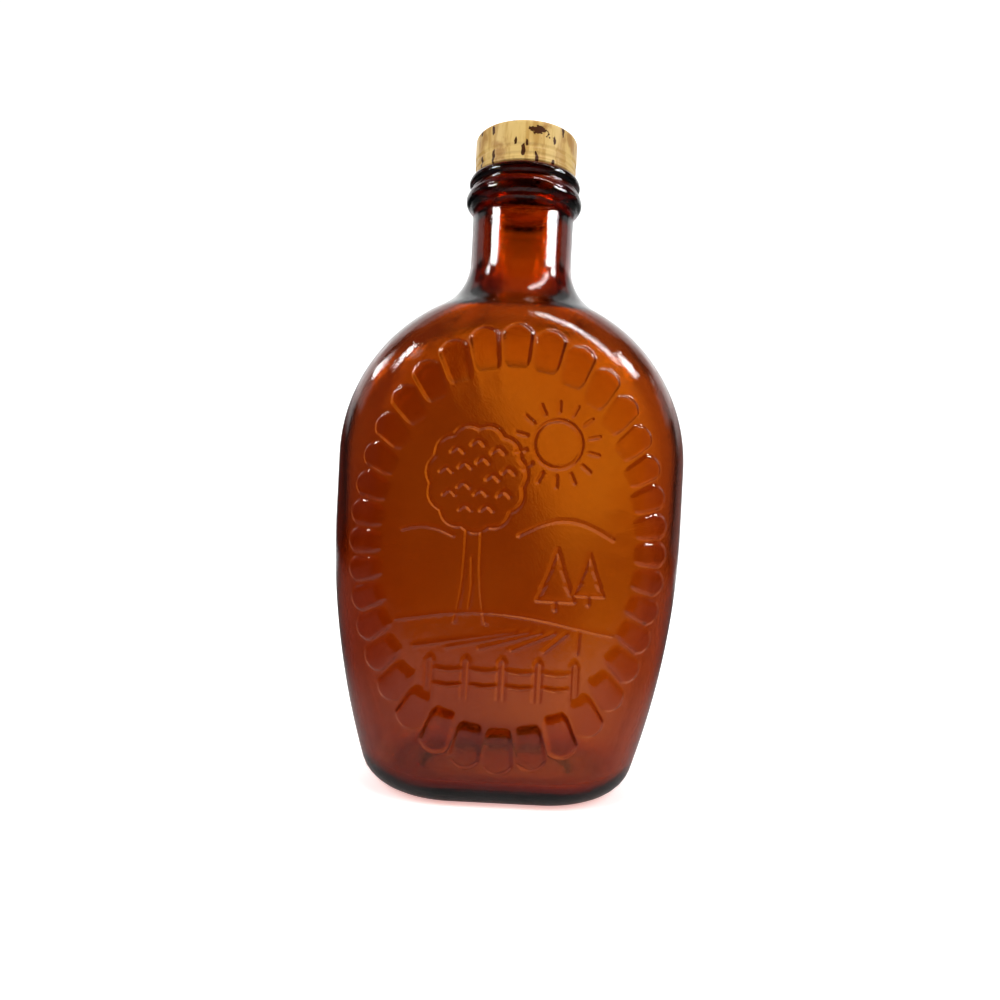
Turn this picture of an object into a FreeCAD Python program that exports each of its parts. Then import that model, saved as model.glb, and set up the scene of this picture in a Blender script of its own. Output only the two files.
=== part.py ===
import FreeCAD, Part
import math
import os
import Sketcher

# A flask-shaped syrup bottle: hollow pressed glass with a round neck, and a screw cap.
# Millimetres, +Z up, the front faces -Y, the origin is at the centre of the base.

doc = FreeCAD.newDocument("SyrupFlask")

# Driving sizes. Every other size is worked out from these cells.
sizes = {
    # body, seen from the front
    "bodyWidth": 110.8,          # across the widest part, which is also the round crown's diameter
    "crownHeight": 103.4,        # centre of the round crown, above the base
    "straightSide": 18.4,        # upright stretch of the sides under the crown
    "lowerSideRadius": 247.5,    # long curve of the sides down to the base
    # body, seen from the side
    "bodyDepth": 63.0,           # front panel to back panel
    "rollRadius": 25.5,          # how the panels roll over into the narrow sides
    "baseEdgeRadius": 8.0,       # rounding between the base and the walls
    "wallThickness": 3.0,        # glass of the body
    "baseThickness": 4.5,        # glass of the base
    "innerBaseRadius": 6.0,      # rounding inside, between the base and the walls
    "bearingWidth": 8.5,         # flat ring that the bottle stands on, round the hollow under it
    "recessRise": 1.2,
    # neck and finish
    "neckRadius": 16.7,
    "neckWall": 4.3,
    "neckBlend": 20.0,           # concave sweep from the neck into the shoulder
    "beadAboveCrown": 30.6,      # the heavy bead, above the top of the round crown
    "beadProud": 2.5,            # beyond the neck
    "beadSection": 3.4,
    "ringAboveBead": 5.7,        # the thin ring under the cap
    "ringProud": 1.7,
    "ringSection": 1.7,
    "grooveProud": 0.7,          # the stretch between bead and ring
    "finishSetback": 1.7,        # the part that the cap covers, drawn in from the neck
    "lipAboveRing": 13.9,
    "lipRound": 0.8,
    # scalloped border, the same on both panels
    "lobeCount": 36,
    "borderSideMargin": 8.1,     # from the widest part of the body to the crests of the lobes
    "borderTopMargin": 14.8,     # from the top of the round crown
    "borderFootMargin": 10.0,    # from the base
    "lobeLengthSide": 11.5,      # at the sides of the oval
    "lobeLengthEnd": 14.0,       # at its top and foot
    "lobeRise": 0.8,             # how far a lobe stands proud of the glass
    "lobeGap": 1.0,              # groove between neighbours
    "scallopDepth": 2.6,         # from a lobe's crest back to the notch beside it
    "innerBulge": 0.8,           # bulge of a lobe's inner end
    # screw cap
    "capClearance": 0.8,         # from the neck's finish to the skirt
    "capWall": 1.0,
    "capTopThickness": 1.0,
    "capEdgeRound": 1.8,
    "capRingGap": 0.4,           # from the skirt's lower edge to the ring
    "bandHeight": 5.0,           # rolled groove round the skirt, above its lower edge
    "bandWidth": 1.8,
    "bandDepth": 0.45,
}

# Formulas for the sizes that follow from them; of each pair, the outer oval of the border comes first
crownTop = "(crownHeight + bodyWidth / 2)"
beadHeight = "(%s + beadAboveCrown)" % crownTop
ringHeight = "(%s + ringAboveBead)" % beadHeight
ringTop = "(%s + ringSection)" % ringHeight
lipHeight = "(%s + lipAboveRing)" % ringHeight
boreRadius = "(neckRadius - neckWall)"
finishRadius = "(neckRadius - finishSetback)"
capRadius = "(%s + capClearance + capWall)" % finishRadius
borderTop = "(%s - borderTopMargin)" % crownTop
borderHeight = "((%s + borderFootMargin) / 2)" % borderTop
borderSpan = "(bodyWidth - 2 * borderSideMargin)"
borderRise = "(%s - borderFootMargin)" % borderTop
borderWidths = (borderSpan, "(%s - 2 * lobeLengthSide)" % borderSpan)
borderHeights = (borderRise, "(%s - 2 * lobeLengthEnd)" % borderRise)

sheet = doc.addObject("Spreadsheet::Sheet", "Sizes")
for row, (alias, value) in enumerate(sizes.items(), start=1):
    sheet.set("A%d" % row, alias)
    sheet.set("B%d" % row, str(value))
    sheet.setAlias("B%d" % row, alias)
doc.recompute()


def bound(formula):
    """Turns a formula over size names into an expression over the sheet's cells."""
    words = []
    word = ""
    for letter in formula + " ":
        if letter.isalnum():
            word += letter
            continue
        words.append("Sizes." + word if word in sizes else word)
        words.append(letter)
        word = ""
    return "".join(words).strip()


def number(formula):
    """The value of a formula over size names."""
    return float(sheet.evalExpression(bound(formula)))


# ---- sketches: closed loops whose corners and radii are formulas


def newSketch(body, plane, name):
    """An empty sketch on one of the body's own origin planes."""
    sketch = body.newObject("Sketcher::SketchObject", name)
    origin = [item for item in body.Origin.OriginFeatures if item.Role == plane][0]
    sketch.AttachmentSupport = [(origin, "")]
    sketch.MapMode = "FlatFace"
    return sketch


def arcBetween(start, end, radius):
    """The arc from start to end: it bulges to the right of the way for a radius above zero."""
    chord = end - start
    middle = (start + end) * 0.5
    rise = math.sqrt(max(radius * radius - chord.Length ** 2 / 4, 0.0))
    side = FreeCAD.Vector(-chord.y, chord.x, 0)
    side.normalize()
    turn = 1 if radius > 0 else -1
    centre = middle + side * rise * turn
    crest = centre - side * abs(radius) * turn
    return Part.Arc(start, crest, end)


def addLoops(sketch, loops):
    """Draws closed loops. Each is a list of corners, pairs of formulas, and the radii of its arcs,
    formulas by the number of the corner that an arc starts from, below zero to bulge to the left."""
    geometry = []
    constraints = []
    formulas = {}

    def dimension(kind, where, formula):
        formulas[len(constraints)] = formula
        constraints.append(Sketcher.Constraint(kind, *where, number(formula)))

    for corners, radii in loops:
        first = len(geometry)
        spots = [FreeCAD.Vector(number(x), number(y), 0) for x, y in corners]
        bends = {i: number(radius) for i, radius in radii.items()}
        # an arc is stored anticlockwise, so one that bulges to the left starts at its point 2
        ends = [(2, 1) if bends.get(i, 1) < 0 else (1, 2) for i in range(len(corners))]
        for i, spot in enumerate(spots):
            after = spots[(i + 1) % len(spots)]
            if i in bends:
                geometry.append(arcBetween(spot, after, bends[i]))
            else:
                geometry.append(Part.LineSegment(spot, after))
        for i, (x, y) in enumerate(corners):
            edge = first + i
            start = ends[i][0]
            before = first + (i - 1) % len(corners)
            joint = Sketcher.Constraint("Coincident", before, ends[i - 1][1], edge, start)
            constraints.append(joint)
            for kind, axis, formula in (("DistanceX", -2, x), ("DistanceY", -1, y)):
                if formula == "0":
                    constraints.append(Sketcher.Constraint("PointOnObject", edge, start, axis))
                else:
                    dimension(kind, (-1, 1, edge, start), formula)
            if i in bends:
                radius = "-" + radii[i] if bends[i] < 0 else radii[i]
                dimension("Radius", (edge,), radius)
    sketch.addGeometry(geometry, False)
    sketch.addConstraint(constraints)
    for index, formula in formulas.items():
        sketch.setExpression("Constraints[%d]" % index, bound(formula))


# ---- features


def pad(body, sketch, name, length):
    """Extrudes a sketch, half to each side of its plane."""
    feature = body.newObject("PartDesign::Pad", name)
    feature.Profile = sketch
    feature.SideType = "Symmetric"
    feature.setExpression("Length", bound(length))
    doc.recompute()
    return feature


def revolve(body, sketch, name):
    """Turns a sketch once round the upright axis."""
    feature = body.newObject("PartDesign::Revolution", name)
    feature.Profile = sketch
    feature.ReferenceAxis = (sketch, ["V_Axis"])
    feature.Angle = 360
    doc.recompute()
    return feature


def roundEdges(body, base, name, radius, chosen):
    """Rounds the edges of the body that the function chosen picks."""
    edges = base.Shape.Edges
    names = ["Edge%d" % (i + 1) for i, edge in enumerate(edges) if chosen(edge)]
    feature = body.newObject("PartDesign::Fillet", name)
    feature.Base = (base, names)
    feature.setExpression("Radius", bound(radius))
    doc.recompute()
    return feature


def newBody(name, label):
    body = doc.addObject("PartDesign::Body", name)
    body.Label = label
    return body


def points(edge):
    """Points along an edge, ends included."""
    return edge.discretize(5)


# ---- the flask form


def footHalf(inset, floor):
    """Half the width of the form at the height floor, on the long curve of the sides."""
    reach = "(lowerSideRadius - (%s)) ^ 2" % inset
    drop = "(crownHeight - straightSide - (%s)) ^ 2" % floor
    return "(bodyWidth / 2 - lowerSideRadius + sqrt(%s - %s))" % (reach, drop)


def flaskBody(name, inset, floor, floorRadius):
    """The form of the body, drawn in by inset all round, down to the height floor."""
    body = newBody(name, name)
    half = "(bodyWidth / 2 - (%s))" % inset
    side = "(crownHeight - straightSide)"
    sideRadius = "(lowerSideRadius - (%s))" % inset
    foot = footHalf(inset, floor)
    corners = [
        ("-" + foot, floor),
        (foot, floor),
        (half, side),
        (half, "crownHeight"),
        ("0", "crownHeight + " + half),
        ("-" + half, "crownHeight"),
        ("-" + half, side),
    ]
    radii = {1: sideRadius, 3: half, 4: half, 6: sideRadius}
    outline = newSketch(body, "XZ_Plane", name + "Outline")
    addLoops(outline, [(corners, radii)])
    block = pad(body, outline, name + "Block", "bodyDepth - 2 * (%s)" % inset)
    face = number("bodyDepth / 2 - (%s)" % inset)
    bottom = number(floor)

    def onPanelEdge(edge):
        flat = all(abs(abs(p.y) - face) < 0.001 for p in points(edge))
        low = all(abs(p.z - bottom) < 0.001 for p in points(edge))
        return flat and not low

    def onFloor(edge):
        return all(abs(p.z - bottom) < 0.001 for p in points(edge))

    rolled = roundEdges(body, block, name + "Roll", "rollRadius - (%s)" % inset, onPanelEdge)
    if floorRadius:
        roundEdges(body, rolled, name + "BaseEdge", floorRadius, onFloor)
    return body


def addNeck(body, name, corners, radii, radius, blend):
    """Turns a neck profile onto the shoulder and sweeps it in with a concave blend."""
    profile = newSketch(body, "XZ_Plane", name + "NeckProfile")
    addLoops(profile, [(corners, radii)])
    neck = revolve(body, profile, name + "Neck")
    wall = number(radius)

    def onNeckRoot(edge):
        around = all(abs(math.hypot(p.x, p.y) - wall) < 0.01 for p in points(edge))
        heights = [p.z for p in points(edge)]
        return around and max(heights) < number(crownTop)

    return roundEdges(body, neck, name + "NeckBlend", blend, onNeckRoot)


# ---- the outside of the glass

outer = flaskBody("Outer", "0", "0", "baseEdgeRadius")
beadRadius = "(neckRadius + beadProud)"
ringRadius = "(neckRadius + ringProud)"
grooveRadius = "(neckRadius + grooveProud)"


def chordRise(section, proud):
    """Half the height of a bead's section where it stands proud by that much."""
    return "sqrt(%s ^ 2 - (%s - (%s)) ^ 2)" % (section, section, proud)


finishCorners = [
    ("0", "crownHeight"),
    ("neckRadius", "crownHeight"),
    ("neckRadius", beadHeight + " - " + chordRise("beadSection", "beadProud")),
    (beadRadius, beadHeight),
    (grooveRadius, beadHeight + " + " + chordRise("beadSection", "beadProud - grooveProud")),
    (grooveRadius, ringHeight + " - " + chordRise("ringSection", "ringProud - grooveProud")),
    (ringRadius, ringHeight),
    (ringRadius + " - ringSection", ringTop),
    (finishRadius, ringTop),
    (finishRadius, lipHeight + " - lipRound"),
    (finishRadius + " - lipRound", lipHeight),
    ("0", lipHeight),
]
finishRadii = {
    2: "beadSection",
    3: "beadSection",
    5: "ringSection",
    6: "ringSection",
    9: "lipRound",
}
addNeck(outer, "Outer", finishCorners, finishRadii, "neckRadius", "neckBlend")


# the hollow under the base: a slot with round ends, inside the ring that the bottle stands on
recess = newSketch(outer, "XY_Plane", "RecessOutline")
recessHalf = "(%s - baseEdgeRadius - bearingWidth)" % footHalf("0", "0")
recessEnd = "(bodyDepth / 2 - baseEdgeRadius - bearingWidth)"
recessRun = "(%s - %s)" % (recessHalf, recessEnd)
recessCorners = [
    ("-" + recessRun, "-" + recessEnd),
    (recessRun, "-" + recessEnd),
    (recessHalf, "0"),
    (recessRun, recessEnd),
    ("-" + recessRun, recessEnd),
    ("-" + recessHalf, "0"),
]
addLoops(recess, [(recessCorners, {i: recessEnd for i in (1, 2, 4, 5)})])
hollow = outer.newObject("PartDesign::Pocket", "Recess")
hollow.Profile = recess
hollow.Reversed = True
hollow.setExpression("Length", bound("recessRise"))
doc.recompute()

# ---- the scalloped border: lobes cut from the flask form grown by their rise

stock = flaskBody("BorderStock", "-lobeRise", "0", "")
lobes = newBody("LobeColumns", "LobeColumns")
lobes.AllowCompound = True


def ovalRadius(width, height, angle):
    """Distance from the middle of an oval to its edge, at an angle from the upright."""
    across = "(%s * cos(%s)) ^ 2" % (width, angle)
    up = "(%s * sin(%s)) ^ 2" % (height, angle)
    return "(%s * %s / 2 / sqrt(%s + %s))" % (width, height, across, up)


def lobeCorner(reach, angle, side):
    """A corner at a distance from the border's centre, half a gap inside the lobe's boundary."""
    x = "%s * sin(%s) - %d * lobeGap / 2 * cos(%s)" % (reach, angle, side, angle)
    z = "%s * cos(%s) + %d * lobeGap / 2 * sin(%s)" % (reach, angle, side, angle)
    return (x, borderHeight + " + " + z)


pitch = "360 / lobeCount"
for lobe in range(int(number("lobeCount"))):
    corners = []
    for side, near in ((-1, True), (-1, False), (1, False), (1, True)):
        angle = "(%s * (%s))" % (pitch, lobe + side / 2)
        reach = ovalRadius(borderWidths[near], borderHeights[near], angle)
        if not near:
            reach = "(%s - scallopDepth)" % reach
        corners.append(lobeCorner(reach, angle, side))
    spans = []
    for a, b in ((1, 2), (3, 0)):
        run = "(%s - (%s))" % (corners[b][0], corners[a][0])
        rise = "(%s - (%s))" % (corners[b][1], corners[a][1])
        spans.append("(%s ^ 2 + %s ^ 2)" % (run, rise))
    crest = "(-(%s / 4 + scallopDepth ^ 2) / (2 * scallopDepth))" % spans[0]
    heel = "(-(%s / 4 + innerBulge ^ 2) / (2 * innerBulge))" % spans[1]
    outline = newSketch(lobes, "XZ_Plane", "LobeOutline%d" % (lobe + 1))
    addLoops(outline, [(corners, {1: crest, 3: heel})])
    pad(lobes, outline, "Lobe%d" % (lobe + 1), "bodyDepth + 4 * lobeRise")
border = doc.addObject("Part::Common", "Border")
border.Base = stock
border.Tool = lobes
doc.recompute()

# ---- the inside of the glass

cavity = flaskBody("Cavity", "wallThickness", "baseThickness", "innerBaseRadius")
boreTop = lipHeight + " + lipRound"
boreCorners = [
    ("0", "crownHeight"),
    (boreRadius, "crownHeight"),
    (boreRadius, boreTop),
    ("0", boreTop),
]
addNeck(cavity, "Cavity", boreCorners, {}, boreRadius, "neckBlend + wallThickness")

relief = doc.addObject("Part::Fuse", "Relief")
relief.Base = outer
relief.Tool = border
doc.recompute()
glass = doc.addObject("Part::Cut", "Glass")
glass.Label = "bottle"
glass.Base = relief
glass.Tool = cavity
doc.recompute()

# ---- the screw cap: a turned shell that sits on the lip

cap = newBody("Cap", "cap")
skirtFoot = "(%s + capRingGap)" % ringTop
bandRadius = "(-(bandWidth ^ 2 / 4 + bandDepth ^ 2) / (2 * bandDepth))"
capHead = "(%s + capTopThickness)" % lipHeight
capCorners = [
    (capRadius + " - capWall", skirtFoot),
    (capRadius, skirtFoot),
    (capRadius, skirtFoot + " + bandHeight - bandWidth / 2"),
    (capRadius, skirtFoot + " + bandHeight + bandWidth / 2"),
    (capRadius, capHead + " - capEdgeRound"),
    (capRadius + " - capEdgeRound", capHead),
    ("0", capHead),
    ("0", lipHeight),
    (capRadius + " - capWall", lipHeight),
]
capProfile = newSketch(cap, "XZ_Plane", "CapProfile")
addLoops(capProfile, [(capCorners, {2: bandRadius, 4: "capEdgeRound"})])
revolve(cap, capProfile, "CapShell")

# ---- checks, then one file for each piece

doc.recompute()
failed = [item.Name for item in doc.Objects if {"Invalid", "Error"} & set(item.State)]
if failed:
    raise RuntimeError("features that failed: " + ", ".join(failed))
os.makedirs("parts", exist_ok=True)
for piece in (glass, cap):
    shape = piece.Shape
    if shape.isNull() or not shape.isValid() or len(shape.Solids) != 1:
        raise RuntimeError(piece.Label + " is not one sound solid")
    shape.exportStep("parts/%s.step" % piece.Label)
    print(piece.Label, "%.1f cm3" % (shape.Volume / 1000), shape.BoundBox)
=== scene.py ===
import math

import bpy
import numpy as np
from mathutils import Euler, Matrix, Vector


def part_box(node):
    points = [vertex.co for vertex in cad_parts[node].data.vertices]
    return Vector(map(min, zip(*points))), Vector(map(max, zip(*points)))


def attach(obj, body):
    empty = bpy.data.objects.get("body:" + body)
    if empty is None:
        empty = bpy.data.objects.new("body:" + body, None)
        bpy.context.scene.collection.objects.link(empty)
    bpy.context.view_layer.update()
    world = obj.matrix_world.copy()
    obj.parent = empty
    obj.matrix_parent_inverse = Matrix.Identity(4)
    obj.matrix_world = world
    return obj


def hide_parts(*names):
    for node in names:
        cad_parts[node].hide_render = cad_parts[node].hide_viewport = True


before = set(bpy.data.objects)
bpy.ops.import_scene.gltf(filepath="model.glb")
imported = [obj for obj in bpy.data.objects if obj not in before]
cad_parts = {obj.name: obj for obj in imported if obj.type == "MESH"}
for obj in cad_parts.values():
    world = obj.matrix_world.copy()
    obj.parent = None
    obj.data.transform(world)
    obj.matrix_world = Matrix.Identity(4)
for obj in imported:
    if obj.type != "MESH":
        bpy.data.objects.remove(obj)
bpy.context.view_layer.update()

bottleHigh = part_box("bottle")[1]
capLow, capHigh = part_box("cap")
mm = 0.001  # shapes are worked out in millimetres and put into meshes in metres


def putMesh(name, points, quads, triangles):
    # points in millimetres (n, 3), quads (m, 4) and triangles (k, 3) of indices, as whole arrays
    mesh = bpy.data.meshes.new(name)
    corners = np.concatenate([quads.ravel(), triangles.ravel()]).astype(np.int32)
    sizes = np.concatenate([np.full(len(quads), 4), np.full(len(triangles), 3)])
    starts = np.concatenate([[0], np.cumsum(sizes)[:-1]]).astype(np.int32)
    mesh.vertices.add(len(points))
    mesh.vertices.foreach_set("co", (points * mm).astype(np.float32).ravel())
    mesh.loops.add(len(corners))
    mesh.loops.foreach_set("vertex_index", corners)
    mesh.polygons.add(len(sizes))
    mesh.polygons.foreach_set("loop_start", starts)
    mesh.polygons.foreach_set("use_smooth", np.ones(len(sizes), dtype=bool))
    mesh.update(calc_edges=True)
    mesh.validate()
    piece = bpy.data.objects.new(name, mesh)
    bpy.context.scene.collection.objects.link(piece)
    return piece


def softStep(t):
    # 0 below 0, 1 above 1, and 3t^2 - 2t^3 between
    t = np.clip(t, 0.0, 1.0)
    return t * t * (3.0 - 2.0 * t)


flask = {
    "halfWidth": bottleHigh.x / mm,   # across the widest part
    "crownHeight": 103.4,             # centre of the round crown
    "sideHeight": 85.0,               # where the upright sides end
    "sideRadius": 247.5,              # long curve down to the base
    "slabHalf": 6.0,                  # flat stretch of the narrow side
    "roll": 25.5,                     # roll from the panels into the sides
    "baseEdge": 8.0,
    "wall": 3.0,
    "floor": 4.5,
    "innerEdge": 6.0,
    "recess": (23.8, 15.0, 1.2),      # half length, half depth and rise of the hollow under the base
    "neck": 16.7,
    "bore": 12.4,
    "blend": 20.0,
    "innerBlend": 16.5,               # tighter inside, so the glass is thicker where neck and shoulder meet
    "waviness": 0.16,                 # slow unevenness of the blown inside
}
search = {                  # how the sections and the neck's join are found
    "near": 0.5,            # distances from the axis
    "far": 75.0,
    "halvings": 26,
    "joinFoot": 125.0,      # lowest height of the join, and how many heights are tried
    "joinSteps": 240,
}
bead = {"height": 189.4, "radius": 19.2, "section": 3.4}
ring = {"height": 195.1, "radius": 18.4, "section": 1.7}
finishShape = {
    "groove": 17.4,         # radius between the bead and the ring
    "radius": 15.0,
    "foot": 0.35,           # small corner where it stands on the ring
    "rows": 203.0,          # height of the row between foot and lip
    "lip": bottleHigh.z / mm,
    "lipRound": 0.8,
}


def outlineDepth(x, z):
    # how far a point lies inside the front outline: from the crown's circle, the upright sides or the
    # long curve
    across = np.abs(x)
    crown = flask["halfWidth"] - np.hypot(x, z - flask["crownHeight"])
    side = flask["halfWidth"] - across
    reach = flask["sideRadius"] - flask["halfWidth"]
    foot = flask["sideRadius"] - np.hypot(across + reach, z - flask["sideHeight"])
    return np.where(z > flask["crownHeight"], crown, np.where(z > flask["sideHeight"], side, foot))


def formDistance(x, y, z, inset):
    # distance outside the rolled slab, drawn in by inset: from its flat middle by a ball of the roll's radius
    beyond = np.maximum(flask["roll"] - outlineDepth(x, z), 0.0)
    return np.hypot(np.maximum(np.abs(y) - flask["slabHalf"], 0.0), beyond) - flask["roll"] + inset


def sectionRadius(turn, z, inset):
    # distance from the upright axis to the form, at an angle turn from the front, found by halving
    low = np.full(np.shape(turn), search["near"])
    high = np.full(np.shape(turn), search["far"])
    for halving in range(search["halvings"]):
        middle = (low + high) / 2
        outside = formDistance(middle * np.sin(turn), -middle * np.cos(turn), z, inset) > 0
        high = np.where(outside, middle, high)
        low = np.where(outside, low, middle)
    return (low + high) / 2


def neckJoin(turns, inset, neckRadius, blend):
    # in each column's upright plane, the circle that touches both neck and shoulder: the height of its
    # centre, the greatest from which it still touches a point of the shoulder, and the height of that point
    crownTop = flask["crownHeight"] + flask["halfWidth"] - inset
    heights = np.linspace(search["joinFoot"], crownTop - 0.01, search["joinSteps"])
    turnGrid, heightGrid = np.meshgrid(turns, heights, indexing="ij")
    shoulder = sectionRadius(turnGrid, heightGrid, inset)
    reach = neckRadius + blend - shoulder
    centres = heightGrid + np.sqrt(np.maximum(blend ** 2 - reach ** 2, 0.0))
    centres = np.where(np.abs(reach) < blend, centres, 0.0)
    touch = centres.argmax(axis=1)
    return centres.max(axis=1), heights[touch]


def wallRadius(column, turns, join, z, inset, neckRadius, blend):
    # the shoulder below the circle's touching point, the circle up to its centre, and the neck above
    centre, touch = join[0][column], join[1][column]
    shoulder = sectionRadius(turns[column], z, inset)
    sweep = neckRadius + blend - np.sqrt(np.maximum(blend ** 2 - (centre - z) ** 2, 0.0))
    return np.where(z < touch, shoulder, np.where(z < centre, sweep, neckRadius))


border = {
    "centre": 77.0,
    "outer": (47.7, 66.2),    # half width and half height of the oval through the crests
    "inner": (36.9, 52.6),
    "lobes": 36,
    "spacing": 0.05,          # how much wider apart the lobes stand at the sides, in radians
    "gap": 0.8,               # groove between neighbours
    "scallop": 2.8,           # from a lobe's crest back to the notch beside it
    "corner": 1.5,            # rounding of a lobe's inner corners
    "heel": 0.38,             # how steep a lobe's inner end is beside its other edges
    "rise": 0.78,
    "edge": 1.15,             # width over which a lobe's edge rounds up
    "dome": 0.24,             # share of the rise that comes slowly, towards a lobe's middle
    "domeReach": 4.2,
    "backRise": 0.16,         # the back's lobes are softer
    "backEdge": 4.0,
}


def ovalReach(oval, angle):
    # distance from the centre of an oval to its edge, at an angle from the upright
    return oval[0] * oval[1] / np.hypot(oval[1] * np.sin(angle), oval[0] * np.cos(angle))


def lobeAngle(even):
    # where an evenly spaced angle stands round the oval: even - spacing * sin(2 even)
    return even - border["spacing"] * np.sin(2 * even)


def borderRelief(x, z, rise, edge):
    # height of the lobes: a rounded edge over the distance to the lobe's outline, and a slow dome
    pitch = 2 * math.pi / border["lobes"]
    angle = np.arctan2(x, z - border["centre"])
    reach = np.hypot(x, z - border["centre"])
    even = angle + border["spacing"] * np.sin(2 * angle)
    even = angle + border["spacing"] * np.sin(2 * even)
    lobe = np.round(even / pitch) * pitch
    first, last = lobeAngle(lobe - pitch / 2), lobeAngle(lobe + pitch / 2)
    middle = (first + last) / 2
    halfTurn = (last - first) / 2
    offset = angle - middle
    along = reach * np.cos(offset)
    across = reach * np.sin(np.abs(offset))
    side = reach * np.sin(halfTurn - np.abs(offset)) - border["gap"] / 2
    crest = ovalReach(border["outer"], middle)
    half = (crest - border["scallop"]) * np.sin(halfTurn) - border["gap"] / 2
    tip = (half ** 2 + border["scallop"] ** 2) / (2 * border["scallop"])
    outer = tip - np.hypot(across, np.maximum(along - crest + tip, 0.0))
    inner = (reach - ovalReach(border["inner"], middle)) * border["heel"]
    corner = border["corner"]
    rounded = corner - np.hypot(np.maximum(corner - side, 0.0), np.maximum(corner - inner, 0.0))
    square = np.minimum(side, inner)
    depth = np.minimum(np.where(square > corner, square, rounded), outer)
    lift = np.clip(depth / edge, 0.0, 1.0)
    swell = np.clip(depth / border["domeReach"], 0.0, 1.0)
    share = border["dome"]
    return rise * ((1 - share) * (1 - (1 - lift) ** 2) + share * (1 - (1 - swell) ** 2))


picture = {
    "width": 0.72,      # half width of a raised line
    "rise": 0.55,
    "sun": (13.0, 31.0, 7.0),             # middle, from the border's centre, and radius
    "rays": 14,
    "tree": (-10.0, 20.0, 13.5, 14.5),    # middle, half width and half height of the crown
    "leaves": ((0.68, 9), (0.34, 5)),     # rings of leaves: share of the crown, and how many
    "firs": ((14.5, -14.5, 15.0), (24.0, -12.5, 12.0)),
    "furrows": 6,
    "posts": 5,
    "postGap": 10.5,
    "rails": (-36.0, -40.5),
}


def curve(across, up):
    # a raised line through points, offsets from the border's centre
    return np.stack(np.broadcast_arrays(across, up), axis=-1).astype(float)


def pictureLines():
    # a field with a spreading tree, hills, the sun, two firs and a rail fence, each a line through points
    lines = []
    sunX, sunZ, sunRadius = picture["sun"]
    t = np.linspace(0, 2 * math.pi, 33)
    lines.append(curve(sunX + sunRadius * np.sin(t), sunZ + sunRadius * np.cos(t)))
    for ray in np.arange(picture["rays"]) * (2 * math.pi / picture["rays"]):
        reach = np.array([sunRadius + 2.4, sunRadius + 5.4])
        lines.append(curve(sunX + reach * np.sin(ray), sunZ + reach * np.cos(ray)))
    treeX, treeZ, treeWide, treeTall = picture["tree"]
    t = np.linspace(0, 2 * math.pi, 133)
    ripple = 1 + 0.085 * np.abs(np.sin(5.5 * t))
    lines.append(curve(treeX + treeWide * ripple * np.sin(t), treeZ + treeTall * ripple * np.cos(t)))
    for ringShare, count in picture["leaves"]:
        for spot in np.arange(count) * (2 * math.pi / count) + ringShare:
            bend = np.linspace(-0.5, 0.5, 5)
            leafX = treeX + ringShare * treeWide * np.sin(spot) + 3.6 * bend
            leafZ = treeZ + ringShare * treeTall * np.cos(spot) + 1.4 * np.cos(3.1 * bend)
            lines.append(curve(leafX, leafZ))
    t = np.linspace(0, 1, 9)
    for side in (-1, 1):
        lines.append(curve(treeX + side * (2.2 + 2.4 * (1 - t) ** 3), -22 + 27 * t))
    lines.append(curve(treeX + np.array([-0.4, 0.2, -0.2]), np.array([-18.0, -11.0, -3.0])))
    t = np.linspace(0, 1, 15)
    lines.append(curve(3 + 27.5 * t, 4 + 5.0 * np.sin(math.pi * t)))
    lines.append(curve(-31 + 15 * t, 1 + 4.5 * np.sin(math.pi * (0.25 + 0.6 * t))))
    lines.append(curve(-31.5 + 63 * t, -22 + 3.2 * np.sin(math.pi * t * 1.2)))
    for furrow in range(picture["furrows"]):
        start = -26 + 9.5 * furrow
        lines.append(curve(start + (22 - start) * 0.62 * t, -29.5 + 5.48 * t))
    for firX, firZ, firTall in picture["firs"]:
        steps = np.array([0, 0.30, 0.22, 0.62, 0.5, 1.0, 0.5, 0.62, 0.22, 0.30, 0])
        wide = np.array([-0.36, -0.2, -0.28, -0.1, -0.16, 0, 0.16, 0.1, 0.28, 0.2, 0.36])
        lines.append(curve(firX + firTall * wide, firZ + firTall * steps))
        lines.append(curve(firX + np.array([-0.36, 0.36]) * firTall, np.array([firZ, firZ])))
        lines.append(curve(np.array([firX, firX]), np.array([firZ - 2.6, firZ])))
    fenceLeft = -picture["postGap"] * (picture["posts"] - 1) / 2
    for post in fenceLeft + picture["postGap"] * np.arange(picture["posts"]):
        lines.append(curve(np.array([post - 0.9, post - 0.9, post, post + 0.9, post + 0.9]),
                           np.array([-44.0, -33.5, -32.2, -33.5, -44.0])))
    for rail in picture["rails"]:
        for left in fenceLeft + picture["postGap"] * np.arange(picture["posts"] - 1):
            sag = np.array([0.3, 0, -0.2, 0, 0.3])
            lines.append(curve(np.linspace(left + 1.6, left + 8.9, 5), rail + sag))
    return lines


def pictureRelief(x, z):
    # height of the raised lines: rise (1 - (distance / half width)^2)^1.5 over the nearest line
    height = np.zeros(np.shape(x))
    inOval = np.hypot(x / border["inner"][0], (z - border["centre"]) / border["inner"][1]) < 1
    across = x[inOval]
    above = (z - border["centre"])[inOval]
    nearest = np.full(len(across), 1e9)
    for line in pictureLines():
        low = line.min(axis=0) - 2 * picture["width"]
        high = line.max(axis=0) + 2 * picture["width"]
        beside = (across > low[0]) & (across < high[0]) & (above > low[1]) & (above < high[1])
        chosen = np.flatnonzero(beside)
        spots = np.stack([across[chosen], above[chosen]], axis=-1)
        for start, end in zip(line[:-1], line[1:]):
            run = end - start
            share = np.clip((spots - start) @ run / (run @ run), 0, 1)
            gap = np.linalg.norm(spots - start - share[:, None] * run, axis=1)
            nearest[chosen] = np.minimum(nearest[chosen], gap)
    height[inOval] = picture["rise"] * np.clip(1 - (nearest / picture["width"]) ** 2, 0, 1) ** 1.5
    return height


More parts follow.
